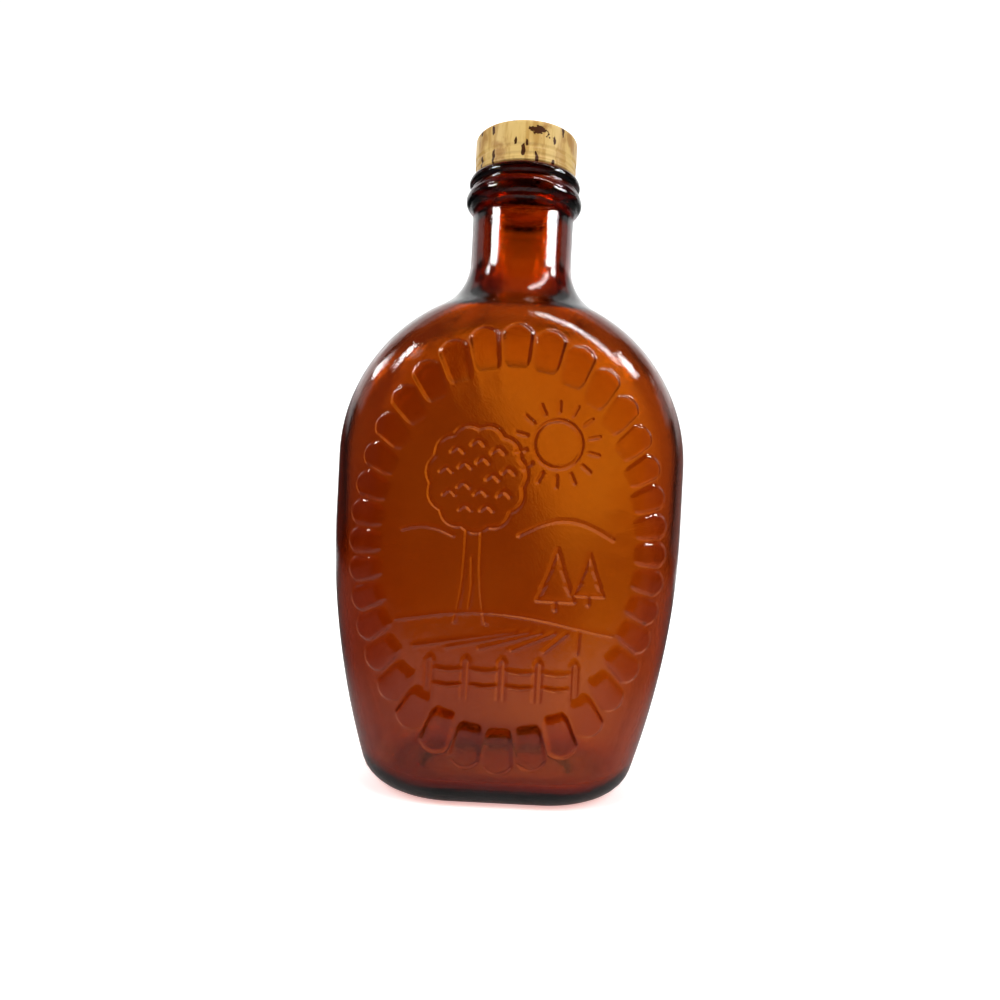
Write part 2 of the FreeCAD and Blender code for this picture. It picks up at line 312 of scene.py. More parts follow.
def glassRelief(x, y, z):
    # the front panel has the border and the picture, the back one a softer border
    front = np.maximum(borderRelief(x, z, border["rise"], border["edge"]), pictureRelief(x, z))
    return np.where(y < 0, front, borderRelief(x, z, border["backRise"], border["backEdge"]))


glassGrid = {          # the glass is one closed surface: columns round the axis and rows along the wall
    "columns": 190,
    "spacedAt": 94.0,      # height at which the columns stand evenly
    "bodyStep": 1.6,       # height of a row of the body
    "innerStep": 3.2,
    "closeFrom": 150.0,    # rows stand closer between these heights, over the shoulder's sweep
    "closeTo": 170.0,
    "neckRows": (174.0, 178.0, 182.0),
    "boreRows": (200.0, 192.0, 184.0),
    # under the base: how much of the hollow's rise, and the share of the way out, up to 1 within its edge
    "baseRows": ((1, 0.0), (1, 0.3), (1, 0.6), (1, 0.9), (1, 0.97), (0.8, 1.0), (0.2, 1.03),
                 (0, 1.08), (0, 1.5), (0, 1.9)),
    "coarse": 0.012,       # a cell whose relief varies by more is halved once
    "fine": 0.07,          # and by more than this, twice
}


def columnTurns():
    # angles of the columns, evenly spaced along the widest section, from the front round to the right
    turn = np.linspace(0, 2 * math.pi, 4001)
    radius = sectionRadius(turn, np.full(turn.shape, glassGrid["spacedAt"]), 0.0)
    x = radius * np.sin(turn)
    y = -radius * np.cos(turn)
    length = np.concatenate([[0], np.cumsum(np.hypot(np.diff(x), np.diff(y)))])
    share = np.linspace(0, length[-1], glassGrid["columns"] * 4 + 1)
    return np.interp(share, length, turn)


def arcRows(centreR, centreZ, radius, start, end, count):
    # rows along an arc of the turned profile, angles in degrees from outwards to upwards
    t = np.radians(np.linspace(start, end, count))
    return [(centreR + radius * math.cos(a), centreZ + radius * math.sin(a)) for a in t]


def turnedProfile():
    # radius and height along the outside of the neck from under the bead, over the lip, into the bore
    beadCentre = bead["radius"] - bead["section"]
    ringCentre = ring["radius"] - ring["section"]
    footAngle = -math.degrees(math.acos((flask["neck"] - beadCentre) / bead["section"]))
    headAngle = math.degrees(math.acos((finishShape["groove"] - beadCentre) / bead["section"]))
    ringAngle = math.degrees(math.acos((finishShape["groove"] - ringCentre) / ring["section"]))
    lip = finishShape["lip"]
    soft = finishShape["lipRound"]
    rows = arcRows(beadCentre, bead["height"], bead["section"], footAngle, headAngle, 17)
    rows += arcRows(ringCentre, ring["height"], ring["section"], -ringAngle, 80, 11)
    ringTop, corner, outer = ring["height"] + ring["section"], finishShape["foot"], finishShape["radius"]
    rows += [(outer + corner, ringTop), (outer, ringTop + corner), (outer, finishShape["rows"])]
    rows += arcRows(outer - soft, lip - soft, soft, 0, 90, 5)
    rows += arcRows(flask["bore"] + soft, lip - soft, soft, 90, 180, 5)
    return rows


def glassRows():
    # each row holds: kind, height, how far the wall is drawn in there, radius or share
    # kinds: 0 base, from its centre to the wall; 1 outer wall; 2 turned; 3 inner wall; 4 inner floor
    rows = []
    rise = flask["recess"][2]
    rows += [(0, rise * lift, 0, share) for lift, share in glassGrid["baseRows"]]
    edge = flask["baseEdge"]
    for a in np.radians(np.linspace(0, 90, 8)):
        rows.append((1, edge - edge * math.cos(a), edge - edge * math.sin(a), 0))
    closeFrom, closeTo = glassGrid["closeFrom"], glassGrid["closeTo"]
    body = np.arange(edge + 1.0, closeFrom, glassGrid["bodyStep"])
    rows += [(1, z, 0, 0) for z in body]
    rows += [(1, z, 0, 0) for z in np.linspace(body[-1], closeTo, 24)[1:]]
    rows += [(1, z, 0, 0) for z in glassGrid["neckRows"]]
    rows += [(2, z, 0, r) for r, z in turnedProfile()]
    rows += [(2, z, 0, flask["bore"]) for z in glassGrid["boreRows"]]
    rows += [(3, z, 0, 0) for z in np.linspace(glassGrid["neckRows"][-1], closeFrom, 20)]
    innerFoot = flask["floor"] + flask["innerEdge"]
    rows += [(3, z, 0, 0) for z in np.arange(closeFrom - 1.0, innerFoot, -glassGrid["innerStep"])]
    for a in np.radians(np.linspace(90, 0, 7)):
        edge = flask["innerEdge"]
        rows.append((3, innerFoot - edge * math.cos(a), edge - edge * math.sin(a), 0))
    rows += [(4, flask["floor"], flask["innerEdge"], share) for share in (0.75, 0.5, 0.25, 0.0)]
    return np.array(rows, dtype=float)


def recessReach(turn):
    # distance from the axis to the slot-shaped edge of the hollow under the base
    length, depth, rise = flask["recess"]
    run = length - depth
    x, y = np.abs(np.sin(turn)), np.abs(np.cos(turn))
    straight = depth / np.maximum(y, 1e-9)
    centre = run * x
    curved = centre + np.sqrt(np.maximum(centre ** 2 - run ** 2 + depth ** 2, 0.0))
    return np.where(straight * x <= run, straight, curved)


def glassPoints(column, row, turns, rows, joins):
    # a point of the glass for each column and row number, which may lie between the grid's own
    turn = turns[column]
    index = row / 4.0
    whole = np.arange(len(rows))
    height = np.interp(index, whole, rows[:, 1])
    drawnIn = np.interp(index, whole, rows[:, 2])
    share = np.interp(index, whole, rows[:, 3])
    kind = rows[np.round(index).astype(int), 0]
    inner = kind >= 3
    onBase = kind == 0
    drawnIn = np.where(onBase, flask["baseEdge"], drawnIn)
    outerWall = wallRadius(column, turns, joins[0], height, drawnIn, flask["neck"], flask["blend"])
    innerWall = wallRadius(column, turns, joins[1], height, drawnIn + flask["wall"],
                           flask["bore"], flask["innerBlend"])
    radius = np.where(inner, innerWall, outerWall)
    slot = recessReach(turn)
    baseRadius = np.where(share <= 1.1, slot * share, slot + (radius - slot) * (share - 1.0))
    radius = np.where(onBase, baseRadius, radius)
    radius = np.where(kind == 2, share, radius)
    radius = np.where(kind == 4, radius * share, radius)
    return np.stack([radius * np.sin(turn), -radius * np.cos(turn), height], axis=-1), kind


def wallNormal(points):
    # outward direction of the rolled slab, from how its distance changes
    x, y, z = points.T
    small = 0.01

    def form(x, y, z):
        return formDistance(x, y, z, 0.0)

    slope = np.stack([form(x + small, y, z) - form(x - small, y, z),
                      form(x, y + small, z) - form(x, y - small, z),
                      form(x, y, z + small) - form(x, y, z - small)], axis=-1)
    return slope / np.linalg.norm(slope, axis=1, keepdims=True)


def relieved(points, kind):
    # the outer wall stands out by the relief, and the inside wanders by two crossed slow sines, each bent by
    # another, which fade out towards the neck and the floor
    x, y, z = points.T
    outer = kind == 1
    lift = glassRelief(x[outer], y[outer], z[outer])
    moved = points.copy()
    moved[outer] += wallNormal(points[outer]) * lift[:, None]
    inside = kind == 3
    x, y, z = x[inside], y[inside], z[inside]
    wander = np.sin(x / 7.3 + 1.3 * np.sin(z / 19.0)) * np.sin(z / 11.0 + 0.8 * np.sin(x / 13.0) + y / 30.0)
    fading = softStep((146.0 - z) / 16.0) * softStep((z - 12.0) / 12.0)
    moved[inside] += wallNormal(points[inside]) * (flask["waviness"] * wander * fading)[:, None]
    return moved


def spread(cells):
    # marks the cells beside marked ones too, round the columns as well
    tall = cells.copy()
    tall[1:] |= cells[:-1]
    tall[:-1] |= cells[1:]
    return tall | np.roll(tall, 1, axis=1) | np.roll(tall, -1, axis=1)


def blockRange(values, size):
    # spread of the values over each block of size by size cells, with shared edges
    rowCount = (values.shape[0] - 1) // size
    columnCount = (values.shape[1] - 1) // size
    highest = np.full((rowCount, columnCount), -1e9)
    lowest = np.full((rowCount, columnCount), 1e9)
    for down in range(size + 1):
        for over in range(size + 1):
            part = values[down:down + rowCount * size:size, over:over + columnCount * size:size]
            highest = np.maximum(highest, part)
            lowest = np.minimum(lowest, part)
    return highest - lowest


def doubled(cells):
    # the same cells on a grid twice as fine
    return np.repeat(np.repeat(cells, 2, axis=0), 2, axis=1)


def halvedCells(rows, turns, joins):
    # marks the coarse cells that are halved once, and the halved cells that are halved again
    wide = glassGrid["columns"] * 4
    tall = (len(rows) - 1) * 4
    bodyRows = np.flatnonzero(rows[:, 0] == 1)
    first, last = bodyRows[0] * 4, bodyRows[-1] * 4
    row, column = np.meshgrid(np.arange(first, last + 1), np.arange(wide), indexing="ij")
    surface = glassPoints(column.ravel(), row.ravel(), turns, rows, joins)[0]
    heights = np.zeros((tall + 1, wide + 1))
    heights[first:last + 1, :wide] = glassRelief(*surface.T).reshape(row.shape)
    heights[:, wide] = heights[:, 0]
    once = blockRange(heights, 4) > glassGrid["coarse"]
    twice = (blockRange(heights, 2) > glassGrid["fine"]) & doubled(once)
    near = spread(twice)
    once |= near[0::2, 0::2] | near[1::2, 0::2] | near[0::2, 1::2] | near[1::2, 1::2]
    bodyOnly = np.zeros(len(rows) - 1, dtype=bool)
    bodyOnly[bodyRows[0]:bodyRows[-1]] = True
    once &= bodyOnly[:, None]
    twice &= doubled(once)
    return once, twice


def cellCorners(once, twice):
    # row, column and size of every cell that is left, counted in quarters of a coarse cell
    leaves = []
    for size, cells in ((4, ~once), (2, doubled(once) & ~twice), (1, doubled(twice))):
        r, c = np.nonzero(cells)
        leaves.append(np.stack([r * size, c * size, np.full(len(r), size)], axis=-1))
    return np.concatenate(leaves).T


def makeGlass():
    # cells of the coarse grid are halved once or twice where the relief varies; a cell beside a finer
    # one becomes a fan about its own centre, so that no edge is left open
    turns = columnTurns()
    rows = glassRows()
    joins = (neckJoin(turns, 0.0, flask["neck"], flask["blend"]),
             neckJoin(turns, flask["wall"], flask["bore"], flask["innerBlend"]))
    wide = glassGrid["columns"] * 4
    tall = (len(rows) - 1) * 4
    r, c, size = cellCorners(*halvedCells(rows, turns, joins))
    used = np.zeros((tall + 1, wide), dtype=bool)
    for down, over in ((0, 0), (0, 1), (1, 1), (1, 0)):
        used[r + down * size, (c + over * size) % wide] = True
    half = size // 2
    middles = [(r, c + half), (r + half, c + size), (r + size, c + half), (r + half, c)]
    split = np.stack([(size > 1) & used[mr, mc % wide] for mr, mc in middles], axis=-1)
    fanned = split.any(axis=1)
    used[(r + half)[fanned], (c + half)[fanned]] = True
    used[0, 1:] = False      # one point at each pole
    used[tall, 1:] = False
    number = np.full((tall + 1, wide), -1)
    number[used] = np.arange(used.sum())
    number[0, :] = number[0, 0]
    number[tall, :] = number[tall, 0]

    def at(row, column):
        return number[row, column % wide]

    corners = np.stack([at(r, c), at(r, c + size), at(r + size, c + size), at(r + size, c)], axis=-1)
    quads = corners[~fanned]
    atFoot = quads[:, 0] == quads[:, 1]
    atHead = quads[:, 2] == quads[:, 3]
    triangles = [quads[atFoot][:, [0, 2, 3]], quads[atHead][:, [0, 1, 2]]]
    quads = quads[~(atFoot | atHead)]
    centre = at(r + half, c + half)
    for side in range(4):
        middle = at(*middles[side])
        a, b = corners[:, side], corners[:, (side + 1) % 4]
        whole = fanned & ~split[:, side]
        cut = fanned & split[:, side]
        triangles.append(np.stack([a, b, centre], axis=-1)[whole])
        triangles.append(np.stack([a, middle, centre], axis=-1)[cut])
        triangles.append(np.stack([middle, b, centre], axis=-1)[cut])
    row, column = np.nonzero(used)
    points = relieved(*glassPoints(column, row, turns, rows, joins))
    triangles = np.concatenate(triangles)
    print("glass:", len(points), "points,", 2 * len(quads) + len(triangles), "triangles")
    return putMesh("flask-glass", points, quads, triangles)


glassLook = {
    "tint": (0.86, 0.60, 0.02),    # a millimetre lets exp(tint - 1) of each colour through, at this density
    "density": 1000.0,
    "index": 1.5,
    "shadow": 0.92,                # how much of the lamps' light the glass lets by
    "roughness": 0.012,
    "swell": (160.0, 0.04),        # scale and height in millimetres of the slow unevenness of the surface
    "grain": (1700.0, 0.035),      # and of its fine orange peel
}


def newMaterial(name):
    # an empty material and its node tree
    material = bpy.data.materials.new(name)
    material.use_nodes = True
    material.node_tree.nodes.clear()
    return material, material.node_tree


def combine(tree, operation, first, second=None, third=None):
    # a math node on one to three values, each a number or another node's output
    node = tree.nodes.new("ShaderNodeMath")
    node.operation = operation
    for socket, value in enumerate((first, second, third)):
        if isinstance(value, float):
            node.inputs[socket].default_value = value
        elif value is not None:
            tree.links.new(value, node.inputs[socket])
    return node.outputs[0]


def fade(tree, value, low, high, fromLevel=0.0, toLevel=1.0):
    # a smooth step from one level to the other, while the value goes from low to high
    node = tree.nodes.new("ShaderNodeMapRange")
    node.interpolation_type = "SMOOTHSTEP"
    for socket, number in zip(("From Min", "From Max", "To Min", "To Max"), (low, high, fromLevel, toLevel)):
        node.inputs[socket].default_value = number
    tree.links.new(value, node.inputs["Value"])
    return node.outputs["Result"]


def mixColor(tree, factor, first, second):
    # from the first colour to the second, each four numbers or another node's output
    node = tree.nodes.new("ShaderNodeMix")
    node.data_type = "RGBA"
    tree.links.new(factor, node.inputs["Factor"])
    for socket, value in ((6, first), (7, second)):
        if isinstance(value, tuple):
            node.inputs[socket].default_value = value
        else:
            tree.links.new(value, node.inputs[socket])
    return node.outputs[2]


def noiseOver(tree, vector, scale, detail):
    # smooth noise over a vector
    texture = tree.nodes.new("ShaderNodeTexNoise")
    texture.inputs["Scale"].default_value = scale
    texture.inputs["Detail"].default_value = detail
    tree.links.new(vector, texture.inputs["Vector"])
    return texture.outputs["Fac"]


def amberGlass():
    # clear uneven surface over a body that takes light by its depth; lamps shine through it
    material, tree = newMaterial("amber-glass")
    nodes, links = tree.nodes, tree.links
    output = nodes.new("ShaderNodeOutputMaterial")
    glass = nodes.new("ShaderNodeBsdfPrincipled")
    glass.inputs["Base Color"].default_value = (1.0, 1.0, 1.0, 1.0)
    glass.inputs["Roughness"].default_value = glassLook["roughness"]
    glass.inputs["IOR"].default_value = glassLook["index"]
    glass.inputs["Transmission Weight"].default_value = 1.0
    place = nodes.new("ShaderNodeTexCoord")
    heights = []
    for scale, height in (glassLook["swell"], glassLook["grain"]):
        noise = noiseOver(tree, place.outputs["Object"], scale, 2.0)
        heights.append(combine(tree, "MULTIPLY", noise, height))
    bump = nodes.new("ShaderNodeBump")
    bump.inputs["Distance"].default_value = mm
    links.new(combine(tree, "ADD", *heights), bump.inputs["Height"])
    links.new(bump.outputs["Normal"], glass.inputs["Normal"])
    inside = nodes.new("ShaderNodeVolumeAbsorption")
    inside.inputs["Color"].default_value = (*glassLook["tint"], 1.0)
    inside.inputs["Density"].default_value = glassLook["density"]
    path = nodes.new("ShaderNodeLightPath")
    through = nodes.new("ShaderNodeBsdfTransparent")
    through.inputs["Color"].default_value = (*[glassLook["shadow"]] * 3, 1.0)
    mix = nodes.new("ShaderNodeMixShader")
    links.new(path.outputs["Is Shadow Ray"], mix.inputs["Fac"])
    links.new(glass.outputs["BSDF"], mix.inputs[1])
    links.new(through.outputs["BSDF"], mix.inputs[2])
    links.new(mix.outputs["Shader"], output.inputs["Surface"])
    links.new(inside.outputs["Volume"], output.inputs["Volume"])
    return material


capShape = {
    "radius": capHigh.x / mm,
    "foot": capLow.z / mm,
    "top": capHigh.z / mm,
    "wall": 1.0,
    "topRound": 1.3,
    "dish": 0.12,                # the top's slight hollow
    "grooves": (2.1, 4.6),       # heights of the two grooves above the foot
    "groove": (0.95, 0.36),      # their half width and depth
    "band": 0.10,                # how far the band between them is drawn in
    "innerRound": 0.6,           # corner between the inside and the top
    "columns": 144,
}


def capSide(height):
    # how far the side is drawn in at a height above the foot: depth (1 - t^2)^2 in each groove, and a
    # plain step between them
    low, high = capShape["grooves"]
    half, depth = capShape["groove"]
    drawn = np.where((height > low) & (height < high), capShape["band"], 0.0)
    for middle in capShape["grooves"]:
        drawn = np.maximum(drawn, depth * np.clip(1 - ((height - middle) / half) ** 2, 0, 1) ** 2)
    return drawn


def makeCap():
    # rows of radius and height from the top's middle over the side, round the foot and up the inside
    radius, foot, top = capShape["radius"], capShape["foot"], capShape["top"]
    soft, wall = capShape["topRound"], capShape["wall"]
    flat = np.linspace(0, 1, 7)
    bend = np.radians(np.linspace(90, 0, 9))[1:]
    heights = np.linspace(top - soft - foot, 0.25, 60)[1:]
    heel = np.radians(np.linspace(0, -180, 7))[1:]
    innerRadius = radius - wall - capShape["groove"][1]
    heelRadius = (radius - innerRadius) / 2
    corner = capShape["innerRound"]
    inside = np.linspace(foot + heelRadius + 1, top - wall - corner, 5)
    r = np.concatenate([flat * (radius - soft), radius - soft + soft * np.cos(bend),
                        radius - capSide(heights), radius - heelRadius + heelRadius * np.cos(heel),
                        np.full(5, innerRadius), [innerRadius - corner],
                        innerRadius * np.linspace(0.8, 0, 4)])
    z = np.concatenate([top - capShape["dish"] * (1 - flat ** 2), top - soft + soft * np.sin(bend),
                        foot + np.maximum(heights, heelRadius), foot + heelRadius + heelRadius * np.sin(heel),
                        inside, [top - wall], np.full(4, top - wall)])
    count = capShape["columns"]
    turn = np.arange(count) * (2 * math.pi / count)
    ringR, ringZ = r[1:-1], z[1:-1]
    points = np.stack([np.outer(ringR, np.sin(turn)), -np.outer(ringR, np.cos(turn)),
                       np.repeat(ringZ[:, None], count, axis=1)], axis=-1).reshape(-1, 3)
    points = np.concatenate([points, [[0, 0, z[0]], [0, 0, z[-1]]]])
    row, column = np.meshgrid(np.arange(len(ringR) - 1), np.arange(count), indexing="ij")
    here = (row * count + column).ravel()
    beside = (row * count + (column + 1) % count).ravel()
    quads = np.stack([here, here + count, beside + count, beside], axis=-1)
    column = np.arange(count)
    after = (column + 1) % count
    first, last = len(points) - 2, len(points) - 1
    lastRow = (len(ringR) - 1) * count
    triangles = np.concatenate([np.stack([np.full(count, first), column, after], axis=-1),
                                np.stack([np.full(count, last), lastRow + after, lastRow + column], axis=-1)])
    print("cap:", len(points), "points")
    return putMesh("cork-cap", points, quads, triangles)


capLook = {
    "straw": (0.47, 0.275, 0.075, 1.0),
    "pale": (0.64, 0.44, 0.155, 1.0),
    "bark": (0.33, 0.155, 0.035, 1.0),
    "speck": (0.055, 0.016, 0.004, 1.0),
    "roughness": 0.38,
    "shine": 0.22,
    "fleckScale": 300.0,
    "fleckShape": 0.33,
    "fleckSize": (0.27, 0.13),              # smallest, and how much larger the largest is
    "fleckShare": (0.42, 0.43),             # about this share of the cells has no fleck
    "blotch": (0.0035, -0.0178, 0.2065),    # middle of the broad dark mark near the front's upper edge
    "blotchSize": (230.0, 230.0, 520.0),    # larger numbers make it smaller along an axis
    "topEdge": 0.0005,                      # below this distance from the top the pattern is wrapped round
    # scale, detail and stretch of the noises
    "streaks": (520.0, 3.0, (1.0, 1.0, 0.14)),
    "clouds": (150.0, 4.0, (1.0, 1.0, 0.7)),
    "ragged": (1100.0, 2.0, (1.0, 1.0, 0.5)),
    "torn": (520.0, 4.0, (1.0, 1.0, 1.3)),
}


def corkPrint():
    # printed cork: straw colour in upright streaks, brown clouds, short dark upright flecks and one
    # broad mark
    material, tree = newMaterial("cork-print")
    nodes, links = tree.nodes, tree.links
    output = nodes.new("ShaderNodeOutputMaterial")
    lacquer = nodes.new("ShaderNodeBsdfPrincipled")
    lacquer.inputs["Roughness"].default_value = capLook["roughness"]
    lacquer.inputs["Specular IOR Level"].default_value = capLook["shine"]
    place = nodes.new("ShaderNodeTexCoord")

    def noise(name):
        scale, detail, stretch = capLook[name]
        mapping = nodes.new("ShaderNodeMapping")
        mapping.inputs["Scale"].default_value = stretch
        links.new(place.outputs["Object"], mapping.inputs["Vector"])
        return noiseOver(tree, mapping.outputs["Vector"], scale, detail)

    def vectorStep(operation, vector, by):
        node = nodes.new("ShaderNodeVectorMath")
        node.operation = operation
        links.new(vector, node.inputs[0])
        node.inputs[1].default_value = by
        return node.outputs[0]

    split = nodes.new("ShaderNodeSeparateXYZ")
    links.new(place.outputs["Object"], split.inputs["Vector"])
    # the flecks' cells lie on the side as it is unrolled, and flat on the top
    turn = combine(tree, "ARCTAN2", split.outputs["X"], combine(tree, "MULTIPLY", split.outputs["Y"], -1.0))
    wrapped = nodes.new("ShaderNodeCombineXYZ")
    links.new(combine(tree, "MULTIPLY", turn, capHigh.x), wrapped.inputs["X"])
    links.new(combine(tree, "MULTIPLY", split.outputs["Z"], capLook["fleckShape"]), wrapped.inputs["Y"])
    topEdge = capHigh.z - capLook["topEdge"]
    onTop = fade(tree, split.outputs["Z"], topEdge - 0.1 * mm, topEdge)
    flatOrWrapped = nodes.new("ShaderNodeMix")
    flatOrWrapped.data_type = "VECTOR"
    links.new(onTop, flatOrWrapped.inputs["Factor"])
    links.new(wrapped.outputs["Vector"], flatOrWrapped.inputs[4])
    links.new(place.outputs["Object"], flatOrWrapped.inputs[5])
    cells = nodes.new("ShaderNodeTexVoronoi")
    cells.voronoi_dimensions = "2D"
    cells.inputs["Scale"].default_value = capLook["fleckScale"]
    links.new(flatOrWrapped.outputs[1], cells.inputs["Vector"])
    chosen = nodes.new("ShaderNodeSeparateColor")
    links.new(cells.outputs["Color"], chosen.inputs["Color"])
    smallest, larger = capLook["fleckSize"]
    size = combine(tree, "ADD", combine(tree, "MULTIPLY", chosen.outputs["Green"], larger), smallest)
    ragged = combine(tree, "MULTIPLY", noise("ragged"), 0.30)
    reach = combine(tree, "ADD", cells.outputs["Distance"], ragged)
    fleck = fade(tree, combine(tree, "SUBTRACT", size, reach), 0.0, 0.03)
    fleck = combine(tree, "MULTIPLY", fleck, fade(tree, chosen.outputs["Red"], *capLook["fleckShare"]))
    # the broad mark is a flattened ball about its middle, torn by noise
    offset = vectorStep("SUBTRACT", place.outputs["Object"], capLook["blotch"])
    scaled = vectorStep("MULTIPLY", offset, capLook["blotchSize"])
    away = nodes.new("ShaderNodeVectorMath")
    away.operation = "LENGTH"
    links.new(scaled, away.inputs[0])
    torn = combine(tree, "ADD", away.outputs["Value"], combine(tree, "MULTIPLY", noise("torn"), 3.0))
    mark = fade(tree, torn, 2.35, 2.20)
    color = mixColor(tree, fade(tree, noise("streaks"), 0.36, 0.62), capLook["straw"], capLook["pale"])
    clouds = combine(tree, "MULTIPLY", fade(tree, noise("clouds"), 0.56, 0.70), 0.8)
    color = mixColor(tree, clouds, color, capLook["bark"])
    color = mixColor(tree, combine(tree, "MAXIMUM", fleck, mark), color, capLook["speck"])
    links.new(color, lacquer.inputs["Base Color"])
    links.new(lacquer.outputs["BSDF"], output.inputs["Surface"])
    return material


stage = {
    "front": -1.6,
    "back": 0.7,
    "bend": 0.35,            # radius between the floor and the upright
    "top": 1.8,
    "half": 1.7,             # half width
    "drop": 0.0003,          # gap under the bottle
    "glowLevel": 0.45,
    # painted light seen through the glass, as if lit from a window on the right:
    "upShare": 0.5,          # the light grows along x, by this share of z and this share of nearness
    "nearShare": 0.15,
    "nearFrom": 0.5,
    "dimPlace": 0.04,        # where the dim part ends and the bright one starts
    "brightPlace": 0.17,
    "paintedDimColor": (0.31, 0.18, 0.15, 1.0),
    "paintedBrightColor": (0.75, 0.71, 0.63, 1.0),
    # painted reflections: in gloss the paper is painted darker to the sides and before the bottle
    "sideStart": 0.36,       # in gloss, beyond this distance to a side the paper darkens, unless high up
    "sideEnd": 0.60,
    "leftLevel": 0.03,
    "rightLevel": 0.20,
    "levelTurn": 0.3,        # the left level holds to the left of this distance, and the right one beyond it
    "wallStart": 0.28,       # heights between which that darkening ends
    "wallEnd": 0.55,
    # painted shade seen through the glass: darker far to the sides, high up and on the floor
    "throughStart": 0.60,    # as seen through the glass it darkens beyond this distance to a side
    "throughEnd": 1.00,
    "throughLevel": 0.06,
    "highStart": 0.40,       # and above this height
    "highEnd": 0.66,
    "highLevel": 0.22,
    "floorTone": 0.42,       # the brightest the floor gets through the glass
    "floorToneEnd": 0.12,
    # painted reflection levels of the floor
    "frontLevel": 0.27,      # the floor before the bottle, in gloss, and to its sides
    "frontSideLevel": 0.07,
    "floorMiddle": 0.06,
    "floorSide": 0.16,
    "glossLevel": 0.80,      # and behind it, from the first of the two depths to the second
    "behindStart": 0.3,
    "behindEnd": 0.7,
}


def stageWhitePaintedLight():
    # white to the camera; through the glass and in its gloss the paper carries painted light and shade:
    # it is painted dimmer to the left and dark far out, as if lit from a window on the right
    material, tree = newMaterial("stage-white-painted-light")
    nodes, links = tree.nodes, tree.links
    output = nodes.new("ShaderNodeOutputMaterial")
    path = nodes.new("ShaderNodeLightPath")
    place = nodes.new("ShaderNodeTexCoord")
    split = nodes.new("ShaderNodeSeparateXYZ")
    links.new(place.outputs["Object"], split.inputs["Vector"])
    right, depth, up = split.outputs["X"], split.outputs["Y"], split.outputs["Z"]
    aside = combine(tree, "ABSOLUTE", right)
    # through the glass: painted light, a dim and a bright colour along the light's way, and painted
    # shade that dims the floor
    near = combine(tree, "MAXIMUM", combine(tree, "SUBTRACT", stage["nearFrom"], depth), 0.0)
    lit = combine(tree, "MULTIPLY_ADD", up, stage["upShare"], right)
    lit = combine(tree, "MULTIPLY_ADD", near, stage["nearShare"], lit)
    tone = fade(tree, lit, stage["dimPlace"], stage["brightPlace"])
    floorTone = fade(tree, up, 0.0, stage["floorToneEnd"], stage["floorTone"], 1.0)
    tone = combine(tree, "MINIMUM", tone, floorTone)
    # painted shade: darker far out to the sides and high up
    high = fade(tree, up, stage["highStart"], stage["highEnd"], 1.0, stage["highLevel"])
    farOut = fade(tree, aside, stage["throughStart"], stage["throughEnd"], 1.0, stage["throughLevel"])
    reach = combine(tree, "MULTIPLY", farOut, high)
    # in gloss: painted reflections, grey levels to the sides and on the floor
    levelTurn = stage["levelTurn"]
    sideLevel = fade(tree, right, -levelTurn, levelTurn, stage["leftLevel"], stage["rightLevel"])
    sides = fade(tree, aside, stage["sideStart"], stage["sideEnd"])
    sides = combine(tree, "MULTIPLY", sides, fade(tree, up, stage["wallStart"], stage["wallEnd"], 1.0, 0.0))
    sides = combine(tree, "MULTIPLY_ADD", sides, combine(tree, "SUBTRACT", sideLevel, 1.0), 1.0)
    front = fade(tree, aside, stage["floorMiddle"], stage["floorSide"],
                 stage["frontLevel"], stage["frontSideLevel"])
    behind = fade(tree, depth, stage["behindStart"], stage["behindEnd"])
    floorGloss = combine(tree, "SUBTRACT", stage["glossLevel"], front)
    floorGloss = combine(tree, "MULTIPLY_ADD", floorGloss, behind, front)
    inGloss = combine(tree, "MULTIPLY", sides, floorGloss)
    black, white = (0.0, 0.0, 0.0, 1.0), (1.0, 1.0, 1.0, 1.0)
    # painted window light, from the dim to the bright colour
    window = mixColor(tree, tone, stage["paintedDimColor"], stage["paintedBrightColor"])
    seenThrough = mixColor(tree, reach, black, window)
    seenInGloss = mixColor(tree, inGloss, black, white)
    # a ray through the glass is a glossy one too, so its colour is mixed in last
    seen = mixColor(tree, path.outputs["Is Glossy Ray"], white, seenInGloss)
    seen = mixColor(tree, path.outputs["Is Transmission Ray"], seen, seenThrough)
    paper = nodes.new("ShaderNodeBsdfDiffuse")
    links.new(seen, paper.inputs["Color"])
    # the glow keeps the paper white to the camera and carries the painted light and reflections to the glass
    glow = nodes.new("ShaderNodeEmission")
    links.new(seen, glow.inputs["Color"])
    shown = combine(tree, "MAXIMUM", path.outputs["Is Camera Ray"], path.outputs["Is Glossy Ray"])
    shown = combine(tree, "MAXIMUM", shown, path.outputs["Is Transmission Ray"])
    links.new(combine(tree, "MULTIPLY", shown, stage["glowLevel"]), glow.inputs["Strength"])
    both = nodes.new("ShaderNodeAddShader")
    links.new(paper.outputs["BSDF"], both.inputs[0])
    links.new(glow.outputs["Emission"], both.inputs[1])
    links.new(both.outputs["Shader"], output.inputs["Surface"])
    return material


def makeStage():
    # floor and backdrop in one sweep: a flat run, a quarter round and an upright, carried across in two
    # columns
    turn = np.radians(np.linspace(0, 90, 13))
    bendY = stage["back"] + stage["bend"] * np.sin(turn)
    bendZ = stage["bend"] * (1 - np.cos(turn))
    y = np.concatenate([[stage["front"]], bendY, [bendY[-1]]])
    z = np.concatenate([[0.0], bendZ, [stage["top"]]]) - stage["drop"]
    points = np.stack([np.concatenate([[side * stage["half"]] * len(y) for side in (-1, 1)]),
                       np.tile(y, 2), np.tile(z, 2)], axis=-1) / mm
    count = len(y)
    near = np.arange(count - 1)
    quads = np.stack([near, near + count, near + count + 1, near + 1], axis=-1)
    sheet = putMesh("stage-sweep", points, quads, np.zeros((0, 3), dtype=int))
    sheet.data.materials.append(stageWhitePaintedLight())


darkBackdrop = {"half": 0.32, "depth": -0.27, "top": 0.55, "level": 0.01}


